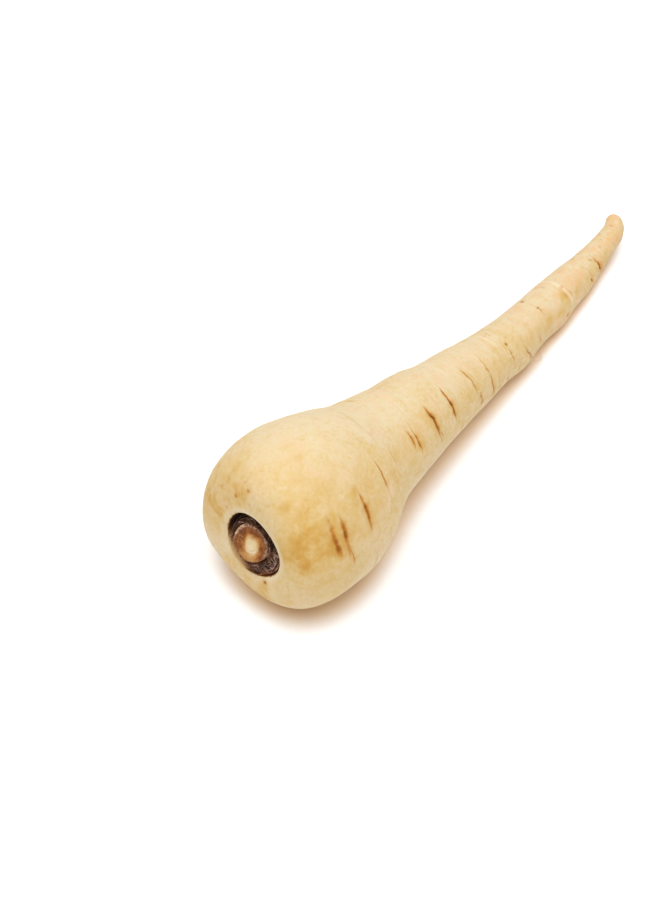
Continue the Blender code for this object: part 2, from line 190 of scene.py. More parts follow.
def bent(points):
    station, radius, angle = upright(points)
    stations, middles, directions = centreline()
    centre = np.stack([np.interp(station, stations, middles[:, k]) for k in range(3)], 1)
    ahead = np.stack([np.interp(station, stations, directions[:, k]) for k in range(3)], 1)
    ahead /= np.linalg.norm(ahead, axis=1)[:, None]
    side = np.cross(ahead, [0, 0, 1])
    side /= np.linalg.norm(side, axis=1)[:, None]
    above = np.cross(side, ahead)
    crown = np.where(station < 20, 1 - easeIn((radius - rootShape["pitRadius"]) / 14), 0)
    outer = easeIn((radius - rootShape["centreRadius"]) / 3)
    inner = crown * (1 - outer)
    tip = easeIn((station - rootShape["length"] + 8) / 8)
    face = 1 - easeIn((station - 4) / 40)
    lean = face * radius * (rootShape["lean"][0] * np.cos(angle) + rootShape["lean"][1] * np.sin(angle))
    radius = radius * (1 + rootShape["pitLobes"] * np.cos(3 * angle) * crown * outer)
    shift = [crown * rootShape["pitOffset"][k] + inner * rootShape["stumpOffset"][k] + tip * rootShape["tipShift"][k] for k in (0, 1)]
    across = radius * np.cos(angle) + shift[0]
    up = radius * np.sin(angle) + shift[1]
    return (centre + across[:, None] * side + up[:, None] * above + lean[:, None] * ahead) * mm


def pointsOf(piece):
    flat = np.empty(len(piece.data.vertices) * 3)
    piece.data.vertices.foreach_get("co", flat)
    return flat.reshape(-1, 3)


def normalsOf(piece):
    flat = np.empty(len(piece.data.vertices) * 3)
    piece.data.vertices.foreach_get("normal", flat)
    return flat.reshape(-1, 3)


def setPoints(piece, points):
    piece.data.vertices.foreach_set("co", points.ravel())
    piece.data.update()


def paint(piece, name, values):
    # a number or a vector at each point, for the materials
    kind, field = ("FLOAT", "value") if values.ndim == 1 else ("FLOAT_VECTOR", "vector")
    made = piece.data.attributes.new(name, kind, "POINT")
    made.data.foreach_set(field, np.ascontiguousarray(values, dtype=np.float32).ravel())


def only(piece):
    bpy.ops.object.select_all(action="DESELECT")
    piece.select_set(True)
    bpy.context.view_layer.objects.active = piece


def spun(name, profile, sides, closed=False):
    # a corner drawn out along the profile, then spun round
    bpy.ops.object.select_all(action="DESELECT")
    bpy.ops.mesh.primitive_plane_add(size=mm)
    piece = bpy.context.object
    piece.name = name
    bpy.ops.object.mode_set(mode="EDIT")
    bpy.ops.mesh.select_all(action="SELECT")
    bpy.ops.mesh.merge(type="CENTER")
    places = [Vector((radius, 0, -station)) * mm for radius, station in profile]
    bpy.ops.transform.translate(value=places[0])
    for start, end in zip(places, places[1:] + places[:1] * closed):
        bpy.ops.mesh.extrude_region_move(TRANSFORM_OT_translate={"value": end - start})
    bpy.ops.mesh.select_all(action="SELECT")
    if closed:
        bpy.ops.mesh.remove_doubles(threshold=1e-6)
    bpy.ops.mesh.spin(steps=sides, angle=2 * math.pi, center=(0, 0, 0), axis=(0, 0, 1))
    bpy.ops.mesh.select_all(action="SELECT")
    bpy.ops.mesh.remove_doubles(threshold=1e-6)
    bpy.ops.mesh.normals_make_consistent(inside=False)
    bpy.ops.object.mode_set(mode="OBJECT")
    bpy.ops.object.shade_smooth()
    return piece


# The skin

def hiddenCreases(draw):
    found = []
    count = skinDetail["hiddenCreases"]
    for k in range(count):
        station = 26 + 184 * (k + draw.uniform(0.2, 0.8)) / count
        depth = draw.uniform(0.3, 0.7)
        middle = draw.uniform(112, 338)
        found.append((station, draw.uniform(-1, 1), middle, draw.uniform(14, 40), depth, draw.uniform(0.28, 0.48), depth * 1.2, middle + draw.uniform(-12, 12)))
    return found


def faintLines(draw):
    found = []
    for _ in range(skinDetail["faintLines"]):
        station = 216 - 176 * draw.random() ** 1.4
        depth = draw.uniform(0.05, 0.16)
        middle = draw.uniform(0, 360)
        found.append((station, draw.uniform(-0.8, 0.8), middle, draw.uniform(15, 70), depth, draw.uniform(0.3, 0.5), draw.uniform(0.03, 0.38), middle + draw.uniform(-20, 20)))
    return found


def rowGap(station, creases):
    for at, tilt, *rest in creases:
        if abs(station - at) < abs(tilt) + 1.0:
            return skinDetail["creaseGap"]
    return [gap for start, gap in skinDetail["rowGaps"] if station >= start][-1]


def skinProfile(creases):
    widestAt, widest = rootShape["widest"]
    crest, power = rootShape["crest"], 2 / rootShape["shoulderPower"]
    dense = []
    for a in np.linspace(0, math.pi / 2, 900):
        dense.append((crest + (widest - crest) * math.sin(a) ** power, widestAt * (1 - math.cos(a) ** power)))
    taper = rootShape["taper"]
    stations = np.arange(widestAt + 0.05, taper[-1][0], 0.05)
    dense += list(zip(smoothCurve(taper, stations), stations))
    tipRadius, rounding = rootShape["tip"]
    for a in np.linspace(0, math.pi / 2, 120):
        dense.append((tipRadius * math.cos(a), rootShape["length"] - rounding * (1 - math.sin(a))))
    rows = [dense[0]]
    travelled = 0
    for before, here in zip(dense, dense[1:]):
        travelled += math.dist(before, here)
        if travelled >= rowGap(here[1], creases):
            rows.append(here)
            travelled = 0
    return smoothPath(rootShape["pit"], 4)[:-1] + rows + [(0, rootShape["length"])]


def creaseShape(line, station, angle, radius, phases):
    # how far from the line in mm, and how much of its strength is left towards its ends
    at, tilt, middle, halfSpan, depth, width, dark, darkest = line
    turned = turnedFrom(angle, middle) / math.radians(halfSpan)
    wander = sum(size * np.sin(angle * waves + phase) for size, waves, phase in zip((0.16, 0.1, 0.06), (11, 23, 51), phases))
    away = station - (at - tilt * turned + wander)
    left = np.clip(1 - turned**2, 0, 1) ** 0.7
    shade = 0.42 + 0.58 * np.exp(-((turnedFrom(angle, darkest) / math.radians(halfSpan * 0.5)) ** 2))
    return away, left, shade


def spread(patches, station, angle):
    total = np.zeros(len(station))
    for at, facing, halfLength, halfWidth, strength in patches:
        along = np.exp(-(((station - at) / halfLength) ** 2))
        total = np.maximum(total, strength * along * np.exp(-((turnedFrom(angle, facing) / math.radians(halfWidth)) ** 2)))
    return total


def shapeSkin(skin, lines, draw):
    points = pointsOf(skin)
    station, radius, angle = upright(points)
    outside = (radius > rootShape["crest"] - 0.02) | (station > 8.5)
    wide = (1 - easeIn((station - 30) / 40)) * easeIn((radius - rootShape["pitRadius"]) / 12)
    lobes = rootShape["twoLobes"][0] * np.cos(2 * angle) + rootShape["twoLobes"][1] * np.sin(2 * angle)
    lobes += rootShape["threeLobes"][0] * np.cos(3 * angle) + rootShape["threeLobes"][1] * np.sin(3 * angle)
    swell = radius * wide * lobes
    awayFromCrest = np.where(station > 24, 1, easeIn((radius - rootShape["crest"]) / 6))
    for at, facing, height, halfLength, halfWidth in rootShape["lumps"]:
        along = np.clip(1 - ((station - at) / (2 * halfLength)) ** 2, 0, 1) ** 2
        around = np.clip(1 - (turnedFrom(angle, facing) / math.radians(2 * halfWidth)) ** 2, 0, 1) ** 2
        swell += height * along * around * awayFromCrest
    nearTip = np.clip((rootShape["length"] - station) / rootShape["tip"][1], 0, 1)
    swell *= nearTip * outside
    # creases, ridges and dots, kept as paint too
    sunk = np.zeros(len(points))
    core = np.zeros(len(points))
    halo = np.zeros(len(points))
    pale = np.zeros(len(points))
    for line in lines:
        phases = [draw.uniform(0, 6.3) for _ in range(3)]
        away, left, shade = creaseShape(line, station, angle, radius, phases)
        depth, width, dark = line[4:7]
        # broken up along its length
        knots = [draw.uniform(0.35, 1.3) for _ in range(14)]
        patchy = np.interp(turnedFrom(angle, line[2]) / math.radians(line[3]), np.linspace(-1, 1, 14), knots)
        width = width * (0.3 + 0.8 * left) * (0.6 + 0.4 * patchy)
        groove = np.exp(-((away / width) ** 2))
        lips = np.exp(-(((np.abs(away) - 2.3 * width) / (1.2 * width)) ** 2))
        sunk += depth * left * (0.6 + 0.4 * patchy) * (groove - 0.3 * lips)
        strength = dark * shade * left
        core = np.maximum(core, strength * (0.5 + 0.55 * patchy) * np.exp(-((away / (0.8 * width)) ** 2)))
        halo = np.maximum(halo, strength * (0.5 + 0.4 * patchy) * np.exp(-np.abs((away + 0.3 * width) / (2.6 * width + 0.2)) ** 1.4))
    # raised ridges across the root, their crests painted paler as a painted highlight
    for at, tilt, middle, halfSpan, height, width in skinDetail["ridges"]:
        turned = turnedFrom(angle, middle) / math.radians(halfSpan)
        ridge = np.exp(-(((station - at + tilt * turned) / width) ** 2)) * np.clip(1 - turned**2, 0, 1)
        sunk -= height * ridge
        pale = np.maximum(pale, np.minimum(1, height * 2.5) * ridge)
    speckles = []
    for _ in range(skinDetail["speckles"]):
        speckles.append((draw.uniform(0.1, 1.9), draw.gauss(132, 22), draw.uniform(0.45, 1.0), draw.uniform(0.14, 0.38)))
    for at, facing, size, brown in skinDetail["dots"] + speckles:
        distance = np.hypot(station - at, turnedFrom(angle, facing) * radius)
        if at < 2:  # on the crown face a dot goes by its radius
            distance = np.hypot(turnedFrom(angle, facing) * radius, radius - (13.2 + at * 6)) + (station > 8)
        dot = np.exp(-((distance / size) ** 2))
        sunk += 0.15 * dot
        core = np.maximum(core, brown * dot)
        halo = np.maximum(halo, 0.8 * brown * np.exp(-((distance / (2.2 * size)) ** 2)))
    # the patches' outlines wander
    nudge = np.array([noise.noise_vector(Vector(p) * 170) for p in points])
    strayed = station + 4 * nudge[:, 0] * np.clip(station / 12, 0.1, 1)
    swayed = angle + 3 * nudge[:, 1] / np.maximum(radius, 8)
    warm, fair = (spread(skinDetail[patches], strayed, swayed) for patches in ("warmPatches", "fairPatches"))
    rough = np.array([noise.fractal(Vector(p) * 110, 0.9, 2.1, 3) for p in points])
    small = np.array([noise.noise(Vector((p[0] * 420, p[1] * 420, p[2] * 1100))) for p in points])
    rays = np.cos(23 * angle + 4 * np.sin(2 * angle)) + 0.7 * np.cos(41 * angle + 1.7)
    nearCrown = easeIn((radius - 11.8) / 2) * (1 - easeIn((radius - 17) / 6)) * (station < 6)
    sunk += outside * nearTip * (0.13 * rough + 0.035 * small) + 0.05 * rays * nearCrown
    shaped = points.copy()
    shaped[:, :2] *= (1 + swell / np.maximum(radius, 1))[:, None]
    shaped -= normalsOf(skin) * (sunk * mm * np.where(outside, 1, nearCrown))[:, None]
    setPoints(skin, shaped)
    paint(skin, "unrolled", points / mm)
    besideTheLip = np.where(station < 8, easeIn((radius - 12.6) / 2.6), 1)
    for name, values in (("core", core), ("halo", halo), ("pale", pale), ("warm", warm * besideTheLip), ("fair", fair)):
        paint(skin, name, values)
    # a paler band round the pit's lip, strongest on its upper right: partly its own paler rim, partly a painted
    # highlight
    lip = np.exp(-(((radius - 12.4) / 0.9) ** 2)) * (station < 1.5)
    paint(skin, "lip", lip * (0.6 + 0.4 * np.cos(angle - math.radians(60))))
    # how deep down the pit wall a point is, far less on the fresh side; it darkens the wall, partly as painted shade
    freshSide = easeIn(2.5 * np.cos(angle - math.radians(234)) - 1.57)
    paint(skin, "inPit", (radius < rootShape["crest"]) * (station < 8.5) * station * (1 - 0.9 * freshSide))


print("skin")
draw = random.Random(17)
mainLines = skinDetail["creases"] + hiddenCreases(draw)
skin = spun("skin", skinProfile(mainLines), skinDetail["sides"])
shapeSkin(skin, mainLines + faintLines(draw), draw)
setPoints(skin, bent(pointsOf(skin)))

# laid down where the solid is: level with its top, and centred on its footprint
low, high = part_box("root")
laid = pointsOf(skin)
laidShift = np.array([
    (low[0] + high[0]) / 2 - (laid[:, 0].min() + laid[:, 0].max()) / 2,
    (low[1] + high[1]) / 2 - (laid[:, 1].min() + laid[:, 1].max()) / 2,
    high[2] - laid[:, 2].max(),
])


def layDown(piece, alreadyBent=False):
    points = (pointsOf(piece) if alreadyBent else bent(pointsOf(piece))) + laidShift
    points[:, 2] = np.maximum(points[:, 2], 0)
    setPoints(piece, points)


layDown(skin, alreadyBent=True)
print("skin triangles", sum(len(face.vertices) - 2 for face in skin.data.polygons))

# The cut stump

stump = {
    "sides": 120,
    "outline": [
        (0, 0.3), (1.1, 0.2), (2.2, 0.3), (2.8, 0.6), (3.6, 0.5), (4.2, 0.8), (5.1, 0.6), (5.8, 0.35),
        (6.4, 0.4), (6.8, 1.1), (6.7, 3.0), (6.75, 5.0), (6.7, 7.0), (6.2, 7.7), (0, 7.7),
    ],
    "slant": 14,  # degrees
    "lowSide": 63,
    "slantEnds": 4.5,
    "coreAt": (0.6, -1.2),
    "coreSize": (3.9, 2.45, 96),  # along, across, its angle
}


def shapeStump(piece):
    points = pointsOf(piece)
    station, radius, angle = upright(points)
    onFace = easeIn((stump["slantEnds"] - station) / (stump["slantEnds"] * 0.95))
    turned = math.radians(stump["coreSize"][2])
    x, y = points[:, 0] / mm - stump["coreAt"][0], points[:, 1] / mm - stump["coreAt"][1]
    along = x * math.cos(turned) + y * math.sin(turned)
    across = y * math.cos(turned) - x * math.sin(turned)
    fromCore = (np.abs(along / stump["coreSize"][0]) ** 2.5 + np.abs(across / stump["coreSize"][1]) ** 2.5) ** 0.4
    fibres = np.array([noise.fractal(Vector((p[0] * 900, p[1] * 900, p[2] * 200)), 0.8, 2.2, 4) for p in points])
    rim = easeIn((radius - 5.4) / 1.2)
    paint(piece, "fromCore", fromCore)
    paint(piece, "unrolled", points / mm)
    paint(piece, "fromAxis", radius)
    paint(piece, "depth", station)
    points[:, :2] *= (1 + (0.03 * np.cos(2 * angle - 1.2) + 0.015 * np.cos(5 * angle + 1) * rim) * onFace)[:, None]
    points[:, 2] -= math.tan(math.radians(stump["slant"])) * radius * mm * np.cos(angle - math.radians(stump["lowSide"])) * onFace
    points[:, 2] += (0.16 * fibres + 0.35 * rim * np.array([noise.noise(Vector((math.cos(a) * 6, math.sin(a) * 6, 0))) for a in angle])) * mm * onFace
    points[:, :2] *= (1 + 0.02 * fibres * (1 - onFace) * (radius > 5))[:, None]
    setPoints(piece, points)


print("stump")
cutStump = spun("cutStump", smoothPath(stump["outline"], 5), stump["sides"])
shapeStump(cutStump)
layDown(cutStump)

# The dried leaf bases

bases = {
    "sides": 220,
    "ring": [
        (7.1, 7.7), (7.1, 4.6), (7.1, 2.1), (7.4, 1.5), (7.9, 2.4), (8.4, 3.8), (9.1, 4.3), (9.8, 3.2),
        (10.4, 1.9), (10.9, 1.6), (10.75, 3.8), (10.2, 6.8), (9.2, 7.7),
    ],
    "whorls": [(7.7, 9, 0.8, 0.9), (8.3, 8, 1.3, 1.2), (8.9, 8, 1.9, 1.2), (9.5, 8, 2.4, 1.1), (10.1, 9, 2.6, 0.9)],  # radius, blades, top, its spread
    "bladeThickness": 0.28,
    "freshSide": 228,  # where the ring stands highest, and is least dried
    "freshLift": 1.3,
    "deepSide": 110,
    "deepDrop": 1.5,
    "bladeFoot": 5.9,
    "fibres": 90,
    "fibreThickness": (0.05, 0.12),
    # paler threads across the ring, each as angle, radius, station and again for its other end
    "threads": [
        (-8, 7.2, 1.2, -22, 9.9, 2.2), (-2, 7.6, 1.3, -12, 10.1, 2.0), (4, 8.6, 1.6, -9, 10.4, 2.0),
        (12, 8.4, 1.7, 16, 11.0, 1.7), (9, 8.9, 1.8, 14, 11.0, 1.9), (-16, 7.5, 1.3, -28, 10.2, 2.3),
        (122, 7.4, 1.0, 150, 8.3, 1.4), (62, 7.4, 1.2, 30, 8.4, 1.7), (300, 8.0, 2.2, 318, 10.2, 2.2),
        (292, 7.5, 1.3, 295, 9.7, 1.1), (299, 7.4, 1.2, 303, 10.0, 1.2), (306, 7.4, 1.2, 308, 10.2, 1.3),
        (312, 7.5, 1.3, 320, 10.4, 1.4), (318, 7.3, 1.1, 322, 9.6, 1.2), (327, 7.4, 1.2, 336, 10.2, 1.5),
    ],
}


def ringTilt(station, radius, angle):
    # the ring is flush with the skin on its fresh side and sunk on the far one
    fresh = easeIn(0.2 + 1.1 * np.cos(angle - math.radians(bases["freshSide"])))
    deep = easeIn(0.1 + 1.0 * np.cos(angle - math.radians(bases["deepSide"]))) * easeIn((radius - 7.6) / 2.5)
    lift = (bases["freshLift"] * fresh - bases["deepDrop"] * deep) * easeIn((5.5 - station) / 3)
    nearer = 0.35 * easeIn((radius - 9) / 1.5) - 0.4 * easeIn((7.8 - radius) / 0.6)
    return station - lift, radius + nearer * fresh * easeIn((5.5 - station) / 3)


def paintRing(piece, station, radius, angle):
    ringed = np.stack([np.cos(angle) * 2.6, np.sin(angle) * 2.6, radius * 2.3], 1)
    paint(piece, "ringed", ringed)
    paint(piece, "depth", station)
    paint(piece, "facing", np.cos(angle - math.radians(bases["freshSide"])))
    paint(piece, "greyed", easeIn((np.cos(angle - math.radians(-34)) - 0.55) / 0.3) * easeIn((radius - 7.2) / 0.8))
    outer = easeIn((radius - 9.3) / 1.4)
    paint(piece, "skinSide", outer * easeIn(2.5 * np.cos(angle - math.radians(232)) - 1.57))
    paint(piece, "shadowed", outer * easeIn(0.1 + np.cos(angle - math.radians(118))))


def shapeRing(piece):
    station, radius, angle = upright(pointsOf(piece))
    free = easeIn((5 - station) / 2) * easeIn((radius - 7.1) / 0.8) * easeIn((10.85 - radius) / 0.8)
    strands = np.array([noise.fractal(Vector((math.cos(a) * 14, math.sin(a) * 14, r * 0.5)), 0.7, 2.2, 4) for a, r in zip(angle, radius)])
    folds = np.array([noise.noise(Vector((math.cos(a) * 3, math.sin(a) * 3, r * 1.2))) for a, r in zip(angle, radius)])
    paintRing(piece, station, radius, angle)
    station, radius = ringTilt(station - (0.55 * strands + 0.5 * folds) * free, radius, angle)
    setPoints(piece, np.stack([radius * np.cos(angle), radius * np.sin(angle), -station], 1) * mm)


def blade(draw, radius, facing, top):
    # one dried leaf base: a grid curled round the axis, its top edge torn
    bpy.ops.object.select_all(action="DESELECT")
    bpy.ops.mesh.primitive_grid_add(x_subdivisions=18, y_subdivisions=10, size=1)
    piece = bpy.context.object
    flat = pointsOf(piece)
    halfSpan = draw.uniform(0.24, 0.5)
    flare, lean = draw.uniform(-0.4, 0.5), draw.uniform(-0.12, 0.12)
    seed = draw.uniform(0, 100)
    columns = np.round((flat[:, 0] + 0.5) * 18).astype(int)
    torn = np.array([noise.fractal(Vector((k * 0.55, seed, 0)), 0.6, 2.3, 3) for k in range(19)])[columns]
    ends = np.abs(flat[:, 0] * 2) ** 3
    tall = flat[:, 1] + 0.5
    station = bases["bladeFoot"] + (top + 0.9 * torn + 1.1 * ends - bases["bladeFoot"]) * tall
    wrinkle = 0.12 * np.sin(flat[:, 0] * 40 + seed) * tall
    out = radius + flare * tall**2 + wrinkle
    around = facing + flat[:, 0] * 2 * halfSpan + lean * tall
    paintRing(piece, station, out, around)
    station, out = ringTilt(station, out, around)
    setPoints(piece, np.stack([out * np.cos(around), out * np.sin(around), -station], 1) * mm)
    only(piece)
    thick = piece.modifiers.new("thickness", "SOLIDIFY")
    thick.thickness = bases["bladeThickness"] * mm
    thick.offset = 0
    bpy.ops.object.modifier_apply(modifier=thick.name)
    bpy.ops.object.shade_smooth()
    return piece


def joinAll(name, pieces):
    bpy.ops.object.select_all(action="DESELECT")
    for piece in pieces:
        piece.select_set(True)
    bpy.context.view_layer.objects.active = pieces[0]
    bpy.ops.object.join()
    pieces[0].name = name
    return pieces[0]


def strands(name, paths):
    # thin tapering tubes along the paths, each a list of (place, thickness)
    bpy.ops.object.select_all(action="DESELECT")
    bpy.ops.curve.primitive_bezier_curve_add()
    piece = bpy.context.object
    piece.name = name
    curve = piece.data
    curve.splines.clear()
    curve.dimensions = "3D"
    curve.bevel_depth = 1
    curve.bevel_resolution = 1
    curve.use_fill_caps = True
    for path in paths:
        line = curve.splines.new("POLY")
        line.points.add(len(path) - 1)
        for point, (place, thickness) in zip(line.points, path):
            point.co = (*place, 1)
            point.radius = thickness
    bpy.ops.object.convert(target="MESH")
    bpy.ops.object.shade_smooth()
    return piece


def crownFibres(draw):
    paths = []
    low, high = bases["fibreThickness"]
    ends = []
    for _ in range(bases["fibres"]):
        facing, run = draw.uniform(-82, 196), draw.choice([-1, 1]) * draw.uniform(8, 38)
        radius = draw.uniform(7.4, 10.2)
        station = 0.9 + (radius - 7.4) * 0.65 + draw.uniform(-0.3, 0.5)
        ends.append((facing, radius, station, facing + run, radius + draw.uniform(-0.3, 0.9), station + draw.uniform(-0.9, 0.7)))
    for a0, r0, s0, a1, r1, s1 in ends + bases["threads"]:
        thick = draw.uniform(low, high) * (2 if len(paths) >= len(ends) else 1)
        wave = draw.uniform(0, 6.3)
        t = np.linspace(0, 1, 8)
        angle = np.radians(a0 + (a1 - a0) * t) + 0.02 * np.sin(6 * t + wave)
        station, radius = ringTilt(s0 + (s1 - s0) * t - 0.35 * np.sin(t * 3), r0 + (r1 - r0) * t, angle)
        path = np.stack([radius * np.cos(angle), radius * np.sin(angle), -station], 1) * mm
        paths.append([(place, thick * mm * (1 - 0.8 * abs(2 * k / 7 - 1) ** 3)) for k, place in enumerate(path)])
    return strands("crownFibres", paths)


print("leaf bases")
draw = random.Random(5)
ring = spun("leafBases", smoothPath(bases["ring"] + bases["ring"][:1], 4)[:-1], bases["sides"], closed=True)
shapeRing(ring)
blades = []
for radius, count, top, spread in bases["whorls"]:
    for k in range(count):
        facing = 2 * math.pi * (k + draw.uniform(-0.3, 0.3)) / count + radius
        blades.append(blade(draw, radius + draw.uniform(-0.15, 0.15), facing, top + draw.uniform(-0.5, 0.5) * spread))
leafBases = joinAll("leafBases", [ring] + blades)
layDown(leafBases)
fibres = crownFibres(draw)
layDown(fibres)

# Rootlet hairs

hairs = {
    # station, angle, then steps out from the skin, along the root and round it, in mm
    "roots": [
        [(143, -14), (0, 0, 0), (1.5, 1.5, -1), (2.6, 4.2, -2), (2.8, 7.5, -3), (2.0, 10.5, -5), (0.8, 13, -8)],
        [(144, -20), (0, 0, 0), (1.2, 0.8, -2), (1.8, 2.6, -4), (1.6, 4.6, -6)],
        [(140, 5), (0, 0, 0), (0.8, 1.0, -1), (1.3, 2.6, -1.5), (1.5, 4.0, -1.2)],
        [(176, 10), (0, 0, 0), (0.8, 0.8, 1), (1.1, 2.0, 2.2), (1.0, 3.2, 3)],
        [(199, 190), (0, 0, 0), (0.9, 0.5, 1), (1.5, 1.8, 2), (1.6, 3.4, 2.5)],
        [(163, 200), (0, 0, 0), (0.8, -0.8, 1), (1.5, -2.2, 2), (1.7, -4.0, 2.5)],
    ],
    "thickness": 0.11,
}


def rootlets():
    paths = []
    for (station, degrees), *steps in hairs["roots"]:
        radius = float(smoothCurve(rootShape["taper"], np.array([station]))[0])
        path = []
        for k, (out, along, round_) in enumerate(smoothPath(steps, 5)):
            angle = math.radians(degrees) + round_ / radius
            r = radius - 0.3 + out
            place = (r * math.cos(angle) * mm, r * math.sin(angle) * mm, -(station + along) * mm)
            path.append((place, hairs["thickness"] * mm * (1 - 0.8 * k / (5 * len(steps)))))
        paths.append(path)
    return strands("rootlets", paths)


print("rootlets")
rootletHairs = rootlets()
layDown(rootletHairs)

# Finishes


def rgb(r, g, b):
    return tuple(((c / 255 + 0.055) / 1.055) ** 2.4 for c in (r, g, b)) + (1,)


class Wire:
    def __init__(self, tree, socket=None):
        self.tree = tree
        self.socket = socket

    def node(self, kind, settings, values, output=0):
        made = self.tree.nodes.new(kind)
        for setting, value in settings.items():
            if setting == "stops":
                ramp = made.color_ramp
                while len(ramp.elements) < len(value):
                    ramp.elements.new(0.5)
                for element, (position, colour) in zip(ramp.elements, value):
                    element.position = position
                    element.color = colour
            else:
                setattr(made, setting, value)
        for slot, value in values.items():
            if isinstance(value, Wire):
                self.tree.links.new(value.socket, made.inputs[slot])
            else:
                made.inputs[slot].default_value = value
        return Wire(self.tree, made.outputs[output])

    def math(self, operation, *values):
        return self.node("ShaderNodeMath", {"operation": operation}, dict(enumerate(values)))

    def __add__(self, other):
        return self.math("ADD", self, other)

    __radd__ = __add__

    def __sub__(self, other):
        return self.math("SUBTRACT", self, other)

    def __rsub__(self, other):
        return self.math("SUBTRACT", other, self)

    def __mul__(self, other):
        return self.math("MULTIPLY", self, other)

    __rmul__ = __mul__

    def between(self, low, high):
        return self.node("ShaderNodeMapRange", {"interpolation_type": "SMOOTHSTEP"}, {"Value": self, "From Min": low, "From Max": high})

    def over(self, under, colour):
        # this mask lays a colour over another
        return self.node("ShaderNodeMix", {"data_type": "RGBA"}, {0: self, 6: under, 7: colour}, 2)

    def scaled(self, x, y, z):
        return self.node("ShaderNodeVectorMath", {"operation": "MULTIPLY"}, {0: self, 1: (x, y, z)})

    def cloud(self, detail=3.0, roughness=0.5, distortion=0.0):
        return self.node("ShaderNodeTexNoise", {}, {"Vector": self, "Scale": 1.0, "Detail": detail, "Roughness": roughness, "Distortion": distortion})

    def painted(self, name, output="Fac"):
        return self.node("ShaderNodeAttribute", {"attribute_name": name}, {}, output)

    def bump(self, strength, distance):
        return self.node("ShaderNodeBump", {}, {"Height": self, "Strength": strength, "Distance": distance * mm})


def finish(name, colourOf, settings):
    made = bpy.data.materials.new(name)
    made.use_nodes = True
    tree = made.node_tree
    shader = tree.nodes["Principled BSDF"]
    for slot, value in settings.items():
        shader.inputs[slot].default_value = value
    for slot, value in colourOf(Wire(tree)).items():
        tree.links.new(value.socket, shader.inputs[slot])
    return made


skinTones = {
    "pale": rgb(228, 216, 192),
    "fair": rgb(209, 197, 172),
    "ivory": rgb(207, 193, 160),
    "cream": rgb(203, 183, 138),
    "straw": rgb(197, 165, 96),
    "ochre": rgb(183, 138, 60),
    "blush": rgb(211, 186, 153),
    "peach": rgb(211, 172, 128),
    "rust": rgb(182, 126, 54),
    "brown": rgb(144, 90, 30),
    "dark": rgb(80, 46, 16),
}


